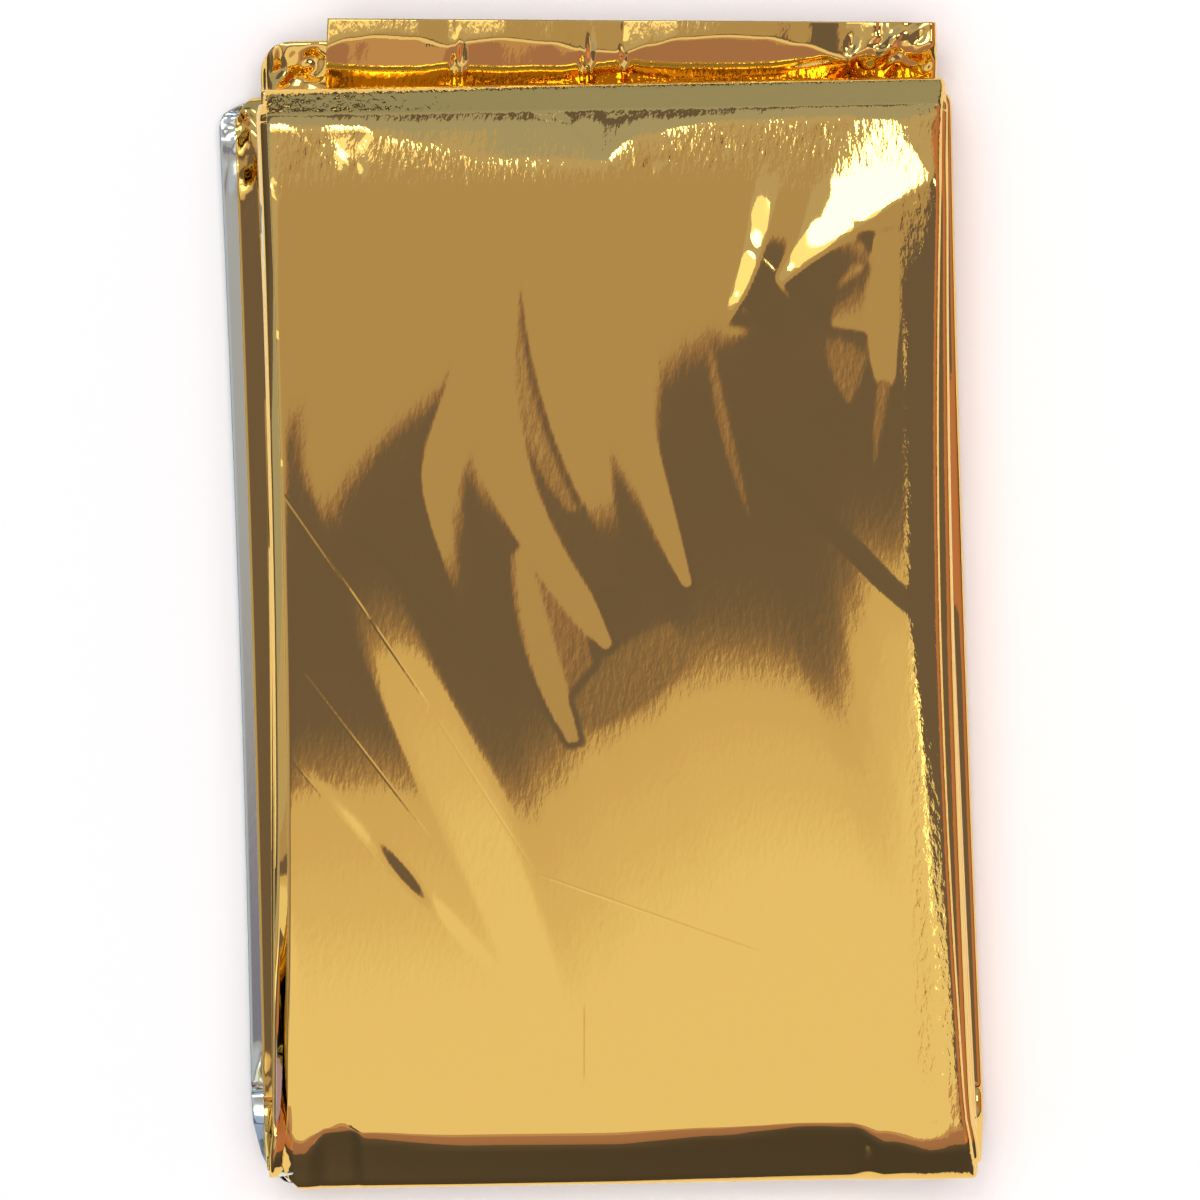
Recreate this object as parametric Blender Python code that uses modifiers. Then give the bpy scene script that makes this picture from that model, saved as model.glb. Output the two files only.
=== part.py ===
"""Emergency foil blanket, folded into its flat carrying packet.

The blanket is one cut sheet of metallised film. It is gathered into a narrow strip, and the strip is
folded in half three times, which leaves eight layers joined by seven rounded turns. Here one solid strip
stands for the bundle of films that each layer really is. The packet lies on its back: X runs across it,
Y along it and Z up through its layers, with the origin under the middle of its box.
"""

import math
from collections import namedtuple

import bmesh
import bpy
import numpy as np

# Driving dimensions, in millimetres
MM = 0.001
LAYERS = 8
SHEET = 1.3  # thickness of a layer, the bundle of films in it
PITCH = 1.8  # from the middle of one layer to the middle of the next
BOTTOM_END = -68.9  # outermost fold of the whole packet
FRONT_TOP = 60.2  # top fold of the four front layers
CROWN = 0.7  # how far the front face swells in its middle
WAVE = 0.35  # height of the slow waves along the front face
WAVE_LENGTH = 74.0
WAVE_SLANT = 0.35  # how far the waves run on along Y for each step on X
HALF_WIDTH = 42.0  # reach of the crown across the packet
HALF_LENGTH = 64.0  # reach of the crown along the packet
RIM_ROUND = 0.35  # rounding of the strip's long edges

# Mesh steps
STEPS_ACROSS = 14
STEPS_ALONG_PANEL = 7
STEPS_IN_SMALLEST_TURN = 6
STEPS_PER_MM_OF_TURN = 1.3
STEPS_IN_CORNER = 3
SHARP_RIM = math.radians(60)

BLANKET_NAME = "emergency_foil_blanket"
NODE_NAME = "foil_blanket"
GOLD_FILM = (0.72, 0.49, 0.13, 1.0)

# A row for each way a layer ends: the place on Y, the roundness of its two corners, how far a free end
# lifts off its neighbours, and how much a free end slopes across the packet.
End = namedtuple("End", "place left_corner right_corner lift slope")
UPPER_FREE_END = End(67.6, 0.0, 0.0, 0.7, -0.025)
LOWER_FREE_END = End(66.0, 3.6, 2.0, -0.6, 0.0)
FRONT_FOLD = End(FRONT_TOP, 1.6, 1.0, 0.0, 0.0)
BACK_FOLD = End(60.0, 4.2, 2.8, 0.0, 0.0)
INNER_BOTTOM_FOLD = End(BOTTOM_END, 0.0, 0.0, 0.0, 0.0)
OUTER_BOTTOM_FOLD = End(BOTTOM_END, 5.0, 1.0, 0.0, 0.0)

# A row for each layer, in the order in which the strip runs through the packet. The edges are places on X
# at the top and the bottom of the layer, because the layers lie askew on each other, and the waists say how
# far the left and the right edge draw in half way along.
PANEL_COLUMNS = "layer top top_left top_right bottom_left bottom_right left_waist right_waist"
Panel = namedtuple("Panel", PANEL_COLUMNS)
PANELS = (
    Panel(3, LOWER_FREE_END, -38.5, 40.2, -39.6, 43.0, 0.3, 0.3),
    Panel(6, FRONT_FOLD, -38.6, 41.2, -38.8, 42.6, 0.8, 1.2),
    Panel(7, FRONT_FOLD, -38.9, 41.7, -39.2, 42.4, 1.0, 1.0),
    Panel(2, BACK_FOLD, -43.2, 42.5, -41.6, 44.2, 0.3, 0.4),
    Panel(1, BACK_FOLD, -44.0, 41.6, -42.3, 43.8, 0.5, 0.6),
    Panel(8, FRONT_FOLD, -37.7, 41.1, -37.9, 41.8, 1.1, 1.9),
    Panel(5, FRONT_FOLD, -38.3, 41.8, -39.4, 42.9, 0.6, 1.0),
    Panel(4, UPPER_FREE_END, -30.6, 40.6, -39.5, 43.2, 0.0, 0.5),
)


def layer_height(layer):
    """Height of the middle of a layer above the surface that the packet lies on."""
    return SHEET / 2 + (layer - 1) * PITCH


def bottom_end(panel):
    """The outermost fold takes in the back and the front layer, and the others lie inside it."""
    return OUTER_BOTTOM_FOLD if panel.layer in (1, LAYERS) else INNER_BOTTOM_FOLD


def is_free(end):
    return end in (UPPER_FREE_END, LOWER_FREE_END)


def corner_inset(radius, distance):
    """How far a quarter-round corner draws the edge in, at a distance from the end."""
    inside = np.clip(radius - distance, 0.0, radius)
    return radius - math.sqrt(radius**2 - inside**2)


def edges_at(panel, y):
    """Left and right edge of a layer at y: a straight line, drawn in by the waist's half sine and the
    rounded corners."""
    share = (y - BOTTOM_END) / (panel.top.place - BOTTOM_END)
    waist = math.sin(math.pi * np.clip(share, 0, 1))
    left = panel.bottom_left + share * (panel.top_left - panel.bottom_left) + waist * panel.left_waist
    right = panel.bottom_right + share * (panel.top_right - panel.bottom_right) - waist * panel.right_waist
    for end in (panel.top, bottom_end(panel)):
        distance = abs(end.place - y)
        left += corner_inset(end.left_corner, distance)
        right -= corner_inset(end.right_corner, distance)
    return left, right


def turn_between(start, finish, at_bottom):
    """Centre on Y and Z and radius of the half circle that joins two layers. The turns of one fold share a
    centre on Y."""
    heights = layer_height(start.layer), layer_height(finish.layer)
    radius = abs(heights[0] - heights[1]) / 2
    if at_bottom:
        widest = (LAYERS - 1) * PITCH / 2
        return BOTTOM_END + SHEET / 2 + widest, sum(heights) / 2, radius
    layers_in_fold = [panel.layer for panel in PANELS if panel.top is start.top]
    widest = (max(layers_in_fold) - min(layers_in_fold)) * PITCH / 2
    return start.top.place - SHEET / 2 - widest, sum(heights) / 2, radius


def corner_places(panel, y_from, y_to):
    """Extra places on Y that follow the layer's rounded corners, at even angles round the larger one."""
    places = []
    angles = np.linspace(0, math.pi / 2, STEPS_IN_CORNER + 1)[:-1]
    for end, inward in ((panel.top, -1), (bottom_end(panel), 1)):
        radius = max(end.left_corner, end.right_corner)
        places += [end.place + inward * radius * (1 - math.sin(angle)) for angle in angles if radius > 0]
    low, high = min(y_from, y_to) + RIM_ROUND, max(y_from, y_to) - RIM_ROUND
    return [place for place in places if low < place < high]


def panel_rows(panel, y_from, y_to):
    """Rows along a layer; each is y, z, left edge, right edge, and the slope of a free end."""
    places = list(np.linspace(y_from, y_to, STEPS_ALONG_PANEL + 1))
    places += corner_places(panel, y_from, y_to)
    if is_free(panel.top):
        places.append(FRONT_TOP)
    places.sort(reverse=y_to < y_from)
    rows = []
    for y in places:
        beyond = 0.0
        if is_free(panel.top):
            beyond = np.clip((y - FRONT_TOP) / (panel.top.place - FRONT_TOP), 0, 1)
        z = layer_height(panel.layer) + panel.top.lift * beyond**2
        rows.append((y, z, *edges_at(panel, y), panel.top.slope * beyond))
    return rows


def turn_rows(start, finish, at_bottom):
    """Rows round a turn, on a half circle, while the edges pass smoothly from one layer's to the next's."""
    centre_y, centre_z, radius = turn_between(start, finish, at_bottom)
    steps = STEPS_IN_SMALLEST_TURN + round(STEPS_PER_MM_OF_TURN * radius)
    outward = -1 if at_bottom else 1
    rise = math.copysign(1, finish.layer - start.layer)
    rows = []
    for angle in np.linspace(0, math.pi, steps + 1)[1:-1]:
        y = centre_y + outward * radius * math.sin(angle)
        z = centre_z - rise * radius * math.cos(angle)
        share = (1 - math.cos(angle)) / 2
        here, there = np.array(edges_at(start, y)), np.array(edges_at(finish, y))
        left, right = here + share * (there - here)
        rows.append((y, z, left, right, 0.0))
    return rows


def strip_rows():
    """All rows from one free end of the strip to the other, through its eight layers and seven turns."""
    rows = []
    y_from = PANELS[0].top.place
    for index, (panel, following) in enumerate(zip(PANELS, PANELS[1:])):
        at_bottom = index % 2 == 0
        y_to = turn_between(panel, following, at_bottom)[0]
        rows += panel_rows(panel, y_from, y_to)
        rows += turn_rows(panel, following, at_bottom)
        y_from = y_to
    return np.array(rows + panel_rows(PANELS[-1], y_from, PANELS[-1].top.place))


def swell(x, y):
    """Height that the crown and the slow waves add at the front face."""
    across = np.clip(1 - (x / HALF_WIDTH) ** 2, 0, 1)
    along = np.clip(1 - (y / HALF_LENGTH) ** 2, 0, 1)
    wave = np.sin(2 * np.pi * (y + WAVE_SLANT * x) / WAVE_LENGTH)
    return across * along * (CROWN + WAVE * wave)


def folded_points():
    """Middle surface of the strip: each row spans its two edges and rises by its share of the swell."""
    y, z, left, right, slope = strip_rows().T[:, :, None]
    x = left + (right - left) * np.linspace(0, 1, STEPS_ACROSS + 1)
    y = y + slope * x
    height_share = (z - layer_height(1)) / (layer_height(LAYERS) - layer_height(1))
    z = z + height_share * swell(x, y)
    return np.stack([x, y, z], axis=-1) * MM


def film_material():
    """Gold side of the metallised film."""
    material = bpy.data.materials.new("gold_metallised_film")
    material.use_nodes = True
    surface = material.node_tree.nodes["Principled BSDF"]
    surface.inputs["Base Color"].default_value = GOLD_FILM
    surface.inputs["Metallic"].default_value = 1.0
    surface.inputs["Roughness"].default_value = 0.2
    return material


def strip_mesh():
    """A flat grid with a row for each step along the strip, moved point by point on to the folded form."""
    points = folded_points()
    last_row, last_column = points.shape[0] - 1, points.shape[1] - 1
    grid = bmesh.new()
    bmesh.ops.create_grid(grid, x_segments=last_column, y_segments=last_row, size=0.5)
    for vertex in grid.verts:
        row = round((vertex.co.y + 0.5) * last_row)
        column = round((vertex.co.x + 0.5) * last_column)
        vertex.co = points[row, column]
    mesh = bpy.data.meshes.new(NODE_NAME)
    grid.to_mesh(mesh)
    grid.free()
    mesh.shade_smooth()
    return mesh


def folded_strip(collection):
    """The strip with its thickness and its rounded rim."""
    strip = bpy.data.objects.new(NODE_NAME, strip_mesh())
    strip.data.materials.append(film_material())
    collection.objects.link(strip)
    thickness = strip.modifiers.new("Thickness", "SOLIDIFY")
    thickness.thickness = SHEET * MM
    thickness.offset = 0.0
    thickness.use_even_offset = True
    rim = strip.modifiers.new("Rim", "BEVEL")
    rim.width = RIM_ROUND * MM
    rim.segments = 1
    rim.limit_method = "ANGLE"
    rim.angle_limit = SHARP_RIM
    return strip


def centre_on_origin(strip):
    """Move the strip so that the origin lies under the middle of its box."""
    bpy.context.view_layer.update()
    evaluated = strip.evaluated_get(bpy.context.evaluated_depsgraph_get())
    corners = np.array([corner[:] for corner in evaluated.bound_box])
    low, high = corners.min(axis=0), corners.max(axis=0)
    strip.location = (-(low[0] + high[0]) / 2, -(low[1] + high[1]) / 2, -low[2])


def main():
    for old in list(bpy.data.objects):
        bpy.data.objects.remove(old, do_unlink=True)
    collection = bpy.data.collections.new(BLANKET_NAME)
    bpy.context.scene.collection.children.link(collection)
    strip = folded_strip(collection)
    centre_on_origin(strip)


main()
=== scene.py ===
# Looks of the emergency foil blanket: one sheet of metallised film, folded across into a narrow strip and
# along into a packet. The film is worked out as a surface of two parameters, one across the strip, through
# its nested folds, and one along the strip, through the packet's eight layers and seven turns.

import math
from collections import namedtuple

import bpy
import numpy as np
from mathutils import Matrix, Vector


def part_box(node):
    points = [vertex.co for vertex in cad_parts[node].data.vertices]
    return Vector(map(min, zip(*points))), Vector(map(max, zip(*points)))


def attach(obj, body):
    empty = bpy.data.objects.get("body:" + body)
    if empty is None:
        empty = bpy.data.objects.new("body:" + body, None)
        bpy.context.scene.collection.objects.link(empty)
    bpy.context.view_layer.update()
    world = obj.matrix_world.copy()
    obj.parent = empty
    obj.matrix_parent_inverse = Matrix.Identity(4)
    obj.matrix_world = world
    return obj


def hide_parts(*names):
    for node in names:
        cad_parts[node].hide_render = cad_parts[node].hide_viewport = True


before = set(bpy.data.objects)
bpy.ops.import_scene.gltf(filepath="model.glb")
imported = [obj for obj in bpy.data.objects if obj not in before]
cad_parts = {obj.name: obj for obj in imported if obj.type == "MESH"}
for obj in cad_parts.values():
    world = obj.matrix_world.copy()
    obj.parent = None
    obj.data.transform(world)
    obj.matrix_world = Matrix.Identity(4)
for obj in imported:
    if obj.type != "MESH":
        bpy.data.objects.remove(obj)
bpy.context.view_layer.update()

NODE = "foil_blanket"
BODY = "root"
MM = 0.001


def table(kind, *rows):
    """A table: its rows, each with the kind's named columns."""
    return tuple(kind(*row) for row in rows)


# The packet, in millimetres, as its solid has it
LAYERS = 8
SHEET = 1.3
PITCH = 1.8
BOTTOM_END = -68.9
FRONT_TOP = 60.2
LOWEST_MIDDLE = SHEET / 2
HIGHEST_MIDDLE = SHEET / 2 + (LAYERS - 1) * PITCH

# An end of layers: its place on Y, the radii of its two corners, and its slope to the right
End = namedtuple("End", "place left_corner right_corner slope")
UPPER_FREE_END = End(67.6, 0.0, 0.0, -0.025)
LOWER_FREE_END = End(66.0, 3.6, 2.0, 0.0)
FRONT_FOLD = End(FRONT_TOP, 1.6, 1.0, 0.0)
BACK_FOLD = End(60.0, 4.2, 2.8, 0.0)
INNER_BOTTOM_FOLD = End(BOTTOM_END, 0.0, 0.0, 0.0)
OUTER_BOTTOM_FOLD = End(BOTTOM_END, 5.0, 1.0, 0.0)

# A row for each layer, in the order in which the strip runs: its end at the top, its edges on X at the top
# and at the bottom, how far its edges draw in half way along, and how far the fold that shows the silver
# side stands out at the left.
Panel = namedtuple(
    "Panel", "layer top top_left top_right bottom_left bottom_right left_waist right_waist silver_reach",
)
PANELS = table(Panel,
    (3, LOWER_FREE_END, -38.5, 40.2, -39.6, 43, 0.3, 0.3, -0.3),
    (6, FRONT_FOLD, -38.6, 41.2, -38.8, 42.6, 0.8, 1.2, 0),
    (7, FRONT_FOLD, -38.9, 41.7, -39.2, 42.4, 1, 1, -0.3),
    (2, BACK_FOLD, -42, 42.5, -40.8, 44.2, 0.3, 0.4, 0),
    (1, BACK_FOLD, -44, 41.6, -42.3, 43.8, 0.5, 0.6, 2),
    (8, FRONT_FOLD, -37.7, 41.1, -37.9, 41.8, 1.1, 1.9, 0),
    (5, FRONT_FOLD, -38.3, 41.8, -39.4, 42.9, 0.6, 1, -0.3),
    (4, UPPER_FREE_END, -30.6, 40.6, -39.5, 43.2, 0, 0.5, 0),
)

# The films in a layer: four on each side of the layer's own lengthways fold, from the outermost inwards
FILMS = 4
OUTER_FILM = 0.65  # place of the outermost film, above the middle of its layer on the outer side
INNER_FILM = -0.80  # and below it on the inner side
FILM_STEP = (OUTER_FILM - INNER_FILM) / (2 * FILMS - 1)
FILM_THICKNESS = 0.03


def smooth(share):
    """Smooth step: 0 below 0, 1 above 1, and 3s^2 - 2s^3 between."""
    share = np.clip(share, 0.0, 1.0)
    return share * share * (3.0 - 2.0 * share)


def placed(name, data, location=(0, 0, 0), turn=0):
    """A new object in the scene, at its location and turned about Z."""
    thing = bpy.data.objects.new(name, data)
    thing.location = location
    thing.rotation_euler = (0, 0, turn)
    bpy.context.scene.collection.objects.link(thing)
    return thing


def grown(value, start, length):
    """0 up to the start, 1 from a length beyond it, and a smooth step between."""
    return smooth((value - start) / length)


# ---- the strip's way through the packet

def layer_height(layer):
    """Middle of a layer: half a sheet, and one pitch for each layer below it."""
    return SHEET / 2 + (layer - 1) * PITCH


def bottom_end(panel):
    return OUTER_BOTTOM_FOLD if panel.layer in (1, LAYERS) else INNER_BOTTOM_FOLD


def corner_inset(radius, distance):
    """How far a quarter-round corner draws the edge in, at a distance from the end."""
    inside = np.clip(radius - distance, 0.0, radius)
    return radius - np.sqrt(radius**2 - inside**2)


def edges_at(panel, y):
    """Left and right edge of a layer at each y: a straight line, drawn in by a half sine and the corners."""
    share = (y - BOTTOM_END) / (panel.top.place - BOTTOM_END)
    waist = np.sin(np.pi * np.clip(share, 0, 1))
    left = panel.bottom_left + share * (panel.top_left - panel.bottom_left) + waist * panel.left_waist
    right = panel.bottom_right + share * (panel.top_right - panel.bottom_right) - waist * panel.right_waist
    for end in (panel.top, bottom_end(panel)):
        distance = np.abs(end.place - y)
        left = left + corner_inset(end.left_corner, distance)
        right = right - corner_inset(end.right_corner, distance)
    return left, right


def turn_between(start, finish, at_bottom):
    """Centre on Y and Z and radius of the half circle that joins two layers."""
    heights = layer_height(start.layer), layer_height(finish.layer)
    radius = abs(heights[0] - heights[1]) / 2
    if at_bottom:
        widest = (LAYERS - 1) * PITCH / 2
        return BOTTOM_END + SHEET / 2 + widest, sum(heights) / 2, radius
    layers_in_fold = [panel.layer for panel in PANELS if panel.top is start.top]
    widest = (max(layers_in_fold) - min(layers_in_fold)) * PITCH / 2
    return start.top.place - SHEET / 2 - widest, sum(heights) / 2, radius


# Stations along the strip, as arrays: middle on Y and Z, outward normal, edges, slope, silver reach, and
# share of the bundle's thickness that is left
Way = namedtuple("Way", "y z normal_y normal_z left right slope silver press")


def in_full(way):
    """The way with its single values repeated for each station."""
    return Way(*np.broadcast_arrays(*way))


def joined(way, following):
    """A way and the next one, which starts where it ends."""
    return Way(*(np.concatenate([here, there[1:]]) for here, there in zip(way, following)))


# Start and length of the change to finer steps, upwards and downwards from the packet's middle
FINER_UP, FINER_DOWN = (50.0, 8.0), (55.0, 6.0)


def stations(y_from, y_to, middle_step, end_step):
    """Places along a layer, evenly by the running count of its steps."""
    way = np.linspace(y_from, y_to, 2001)
    near_end = grown(way, *FINER_UP) + grown(-way, *FINER_DOWN)
    steps = 1 / (middle_step + (end_step - middle_step) * near_end)
    counted = np.concatenate([[0], np.cumsum((steps[1:] + steps[:-1]) / 2 * abs(way[1] - way[0]))])
    return np.interp(np.linspace(0, counted[-1], math.ceil(counted[-1]) + 1), counted, way)


def panel_way(panel, y_from, y_to, middle_step, end_step):
    """Stations along a flat layer; a free end is cut aslant."""
    y = stations(y_from, y_to, middle_step, end_step)
    beyond = np.zeros_like(y)
    if panel.top in (UPPER_FREE_END, LOWER_FREE_END):
        beyond = np.clip((y - FRONT_TOP) / (panel.top.place - FRONT_TOP), 0, 1)
    left, right = edges_at(panel, y)
    heading = math.copysign(1, y_to - y_from)
    return in_full(Way(
        y=y, z=layer_height(panel.layer), normal_y=0.0, normal_z=heading,
        left=left, right=right, slope=panel.top.slope * beyond, silver=panel.silver_reach, press=1.0,
    ))


# A pressed fold of half height 1, as one side of it runs from the layer to the nose: heading at each
# station, in degrees, and length of the way to it, where None is what is left to a full rise of 1
PRESSED_FOLD = ((0, 0.0), (15, 0.62), (38, 0.12), (38, None), (90, 0.10))
FOLD_SLOPE = math.radians(38)
PRESSED = 0.78  # share of its thickness that is left to the bundle on the steep sides
TURN_WEIGHT = 1.5  # stations for each radian that the film turns, to one for each unit of its way


def fold_profile(steps):
    """Both sides of the fold: the heading runs evenly from row to row, and its cosine and sine are summed
    up. Gives reach from the nose (0 or less), height from -1 to 1, and heading."""
    headings = np.radians([row[0] for row in PRESSED_FOLD])
    lengths = np.array([row[1] or 0 for row in PRESSED_FOLD])

    def rise_of(start, end, length):
        if end == start:
            return length * math.sin(start)
        return length * (math.cos(start) - math.cos(end)) / (end - start)

    risen = sum(rise_of(*stretch) for stretch in zip(headings, headings[1:], lengths[1:]))
    lengths[PRESSED_FOLD.index((38, None))] = (1 - risen) / math.sin(FOLD_SLOPE)
    headings = np.concatenate([headings, math.pi - headings[-2::-1]])
    places = np.cumsum(np.concatenate([lengths, lengths[:0:-1]]))
    way = np.linspace(0, places[-1], 4001)
    heading = np.interp(way, places, headings)
    step = way[1] - way[0]
    middle = (heading[1:] + heading[:-1]) / 2
    reach = np.concatenate([[0], np.cumsum(np.cos(middle)) * step])
    height = np.concatenate([[0], np.cumsum(np.sin(middle)) * step]) - 1
    # more stations where the film turns
    density = np.concatenate([[0], np.cumsum(np.diff(heading) * TURN_WEIGHT + step)])
    at = np.interp(np.linspace(0, density[-1], steps + 1), density, way)
    return tuple(np.interp(at, way, value) for value in (reach - reach.max(), height, heading))


FOLD_LENGTH = -fold_profile(8)[0][0]  # reach of a pressed fold of half height 1


def turn_way(start, finish, at_bottom, steps):
    """Stations round a turn between two layers, on a pressed fold; the edges pass from one to the next."""
    centre_y, centre_z, radius = turn_between(start, finish, at_bottom)
    reach, height, heading = fold_profile(steps)
    outward = -1 if at_bottom else 1
    rise = math.copysign(1, finish.layer - start.layer)
    y = centre_y + outward * radius * (1 + reach)
    share = (1 + height) / 2
    here, there = edges_at(start, y), edges_at(finish, y)
    return in_full(Way(
        y=y, z=centre_z + rise * radius * height,
        normal_y=-rise * np.sin(heading), normal_z=outward * np.cos(heading),
        left=here[0] + share * (there[0] - here[0]), right=here[1] + share * (there[1] - here[1]),
        slope=0.0, silver=start.silver_reach + share * (finish.silver_reach - start.silver_reach),
        press=1 - (1 - PRESSED) * np.sin(np.minimum(heading, math.pi - heading)) / math.sin(FOLD_SLOPE),
    ))


def turn_start(start, finish, at_bottom):
    """Where on Y the layers go over into the turn between them."""
    centre_y, _, radius = turn_between(start, finish, at_bottom)
    return centre_y + (-1 if at_bottom else 1) * radius * (1 - FOLD_LENGTH)


# ---- the film's way across the strip

# A section is an array with a column for each point across the strip. Its rows are the share of the way
# from the left edge to the right, the offset from there on X, the height in the bundle, and the weight of
# the silver reach.

def part(share, offset, height, silver):
    return np.stack(np.broadcast_arrays(share, offset, height, silver))


def section(*parts):
    return np.concatenate(parts, axis=1)


def film_height(film, on_top):
    """Place of a film in the bundle; film 1 is the outermost on both sides."""
    if on_top:
        return OUTER_FILM - (film - 1) * FILM_STEP
    return INNER_FILM + (film - 1) * FILM_STEP


RIGHT_CENTRE = (OUTER_FILM - INNER_FILM) / 2  # how far the centre of the right turns lies inside the edge
BEAD_RADIUS = FILM_STEP / 2
# How far each fold at the left lies inside the layer's edge, the outer and the inner gold fold, how far
# their films start inside it, and the same of the free edges of film 1 and film 4
OUTER_BEAD, INNER_BEAD = 0.0, 0.35
OUTER_INSET, INNER_INSET = OUTER_BEAD + BEAD_RADIUS, INNER_BEAD + BEAD_RADIUS
FREE_EDGE, LAST_EDGE = 0.15, 0.9
# Shares of the way across: the left part that may be stepped more finely, where the lowest layers show,
# and how far the front film goes on round the right side and round the left fold
LEFT_PART, ROUND_RIGHT, ROUND_LEFT = 3.5 / 83, 5 / 80, 4 / 80
EVEN_FROM = 40  # number of columns from which on they are even
GATHERED = 2.2  # power by which fewer columns are gathered towards both edges


def run(film, on_top, to_right, left_inset, left_silver, columns):
    """A film from the left folds to the right ones, or back. Many columns are even, and fewer are gathered
    towards both edges; a pair of numbers stands for the left part and for the rest."""
    if isinstance(columns, tuple):
        left_part = np.linspace(0, LEFT_PART, columns[0] + 1)
        rest = np.linspace(LEFT_PART, 1, columns[1] + 1)
        share = np.concatenate([left_part, rest[1:]])
    else:
        even = np.linspace(-1, 1, columns + 1)
        gathered = np.sign(even) * (1 - (1 - np.abs(even)) ** GATHERED)
        share = (1 + (gathered if columns < EVEN_FROM else even)) / 2
    if not to_right:
        share = share[::-1]
    offset = (1 - share) * left_inset - share * RIGHT_CENTRE
    return part(share, offset, film_height(film, on_top), (1 - share) * left_silver)


def right_turn(film, upward, steps):
    """The half circle round the right side of the bundle, which joins a film's two halves."""
    angle = np.linspace(-np.pi / 2, np.pi / 2, steps + 1)[1:-1]
    if not upward:
        angle = angle[::-1]
    radius = (film_height(film, True) - film_height(film, False)) / 2
    middle = (OUTER_FILM + INNER_FILM) / 2
    return part(1.0, radius * np.cos(angle) - RIGHT_CENTRE, middle + radius * np.sin(angle), 0.0)


def left_bead(film, on_top, inset, silver, steps):
    """The small half circle at the left that joins a film to the next one inwards."""
    angle = np.linspace(np.pi / 2, 3 * np.pi / 2, steps + 1)[1:-1]
    here, there = film_height(film, on_top), film_height(film + 1, on_top)
    turned = math.copysign(1, here - there)
    height = (here + there) / 2 + turned * BEAD_RADIUS * np.sin(angle)
    return part(0.0, inset + BEAD_RADIUS + BEAD_RADIUS * np.cos(angle), height, silver)


def there_and_back(film, from_top, insets, silvers, columns, turn_steps):
    """A film from the left round the right side and back, with insets and silver weights at its left ends."""
    there = run(film, from_top, True, insets[0], silvers[0], columns)
    back = run(film, not from_top, False, insets[1], silvers[1], columns)
    return section(there, right_turn(film, not from_top, turn_steps), back)


def outer_section(columns, turn_steps):
    """The outermost film alone: round the right side, across the front and round the left fold."""
    behind, inside = np.linspace(1 - ROUND_RIGHT, 1, 6), np.linspace(0, ROUND_LEFT, 4)
    return section(
        part(behind, (1 - behind) * FREE_EDGE - behind * RIGHT_CENTRE, film_height(1, False), 0.0),
        right_turn(1, True, turn_steps), run(1, True, False, OUTER_INSET, 1.0, columns),
        left_bead(1, True, OUTER_BEAD, 1.0, 6),
        part(inside, (1 - inside) * OUTER_INSET - inside * RIGHT_CENTRE, film_height(2, True), 1 - inside),
    )


def back_section(columns):
    """The other half of the outermost film, from its free edge to the right side."""
    return run(1, False, True, FREE_EDGE, 1.0, columns)


def inner_section(columns):
    """All other films of the strip, from where the outermost one leaves off."""
    return section(
        there_and_back(2, True, (OUTER_INSET, BEAD_RADIUS), (1.0, 0.0), columns, 6),
        left_bead(2, False, 0.0, 0.0, 5),
        there_and_back(3, False, (BEAD_RADIUS, INNER_INSET), (0.0, 1.0), columns, 5),
        left_bead(3, True, INNER_BEAD, 1.0, 5),
        there_and_back(4, True, (INNER_INSET, LAST_EDGE), (1.0, 1.0), columns, 4),
    )


def whole_section(columns, inner_columns):
    """The whole film across the strip, from the free edge of film 1 to the free edge of film 4."""
    return section(
        there_and_back(1, False, (FREE_EDGE, OUTER_INSET), (1.0, 1.0), columns, 8),
        left_bead(1, True, OUTER_BEAD, 1.0, 6), inner_section(inner_columns),
    )


# ---- relief of the packet

# The front face as it reflects. The long edges of the soft boxes overhead are turned from the packet's X,
# so a slope to the side moves the reflection of an edge up or down the face, into tongues.
BOX_TURN = math.radians(45)
# Where, measured square to them, the edge of the boxes at the front is and that of the boxes at the rear
FRONT_EDGE, REAR_EDGE = -2.4, 1.2  # in degrees from straight up
# Stations along Y, and the angle in degrees from straight up, measured square to those edges, at which a
# line of sight from straight above leaves the face there. A station is given as a place on Y, or as a
# distance from the lower or from the upper edge of the level middle.
Station = namedtuple("Station", "base distance angle")
STATIONS = table(Station,
    ("fixed", -69, -10), ("fixed", -62, -10), ("fixed", -55, -5.6), ("lower", -22, -5), ("lower", -5, -3.6),
    ("lower", 0, FRONT_EDGE), ("lower", 3, -2.05), ("lower", 7, -1.5), ("upper", -5, 0.1),
    ("upper", 0, REAR_EDGE), ("upper", 3, 2.2), ("upper", 10, 2.8), ("fixed", 44, 3.8), ("fixed", 50, 5),
    ("fixed", 57, 7.4), ("fixed", 62, 9),
)
VIEWING_HEIGHT = 800.0
# Where the level middle would end on a face without folds, above and below; the height of that face's
# crown at the middle, and the reach on Y over which the crown is summed up
LEVEL_UPPER, LEVEL_LOWER = 22.0, -17.0
CROWN_HEIGHT, CROWN_REACH = 1.8, (-72.0, 64.0)

# The face is thrown into shallow folds that run down it, leaning to the right. Their lean is how far they
# have gone to the right of their place at y = 16, in the left part of the face and in the right part.
Lean = namedtuple("Lean", "x left right")  # x stands for the place on Y
LEANS = table(Lean,
    (-70, 32, 24), (-40, 20, 15), (-22, 12, 10), (-6, 5, 5), (6, 1, 2), (15, -0.5, 0), (26, 3.2, -1.8),
    (38, 7, -2.4), (62, 8, -2.4),
)
LEAN_CHANGE = (-14.0, 14.0)  # start on X and length of the change from the left part to the right part
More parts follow.
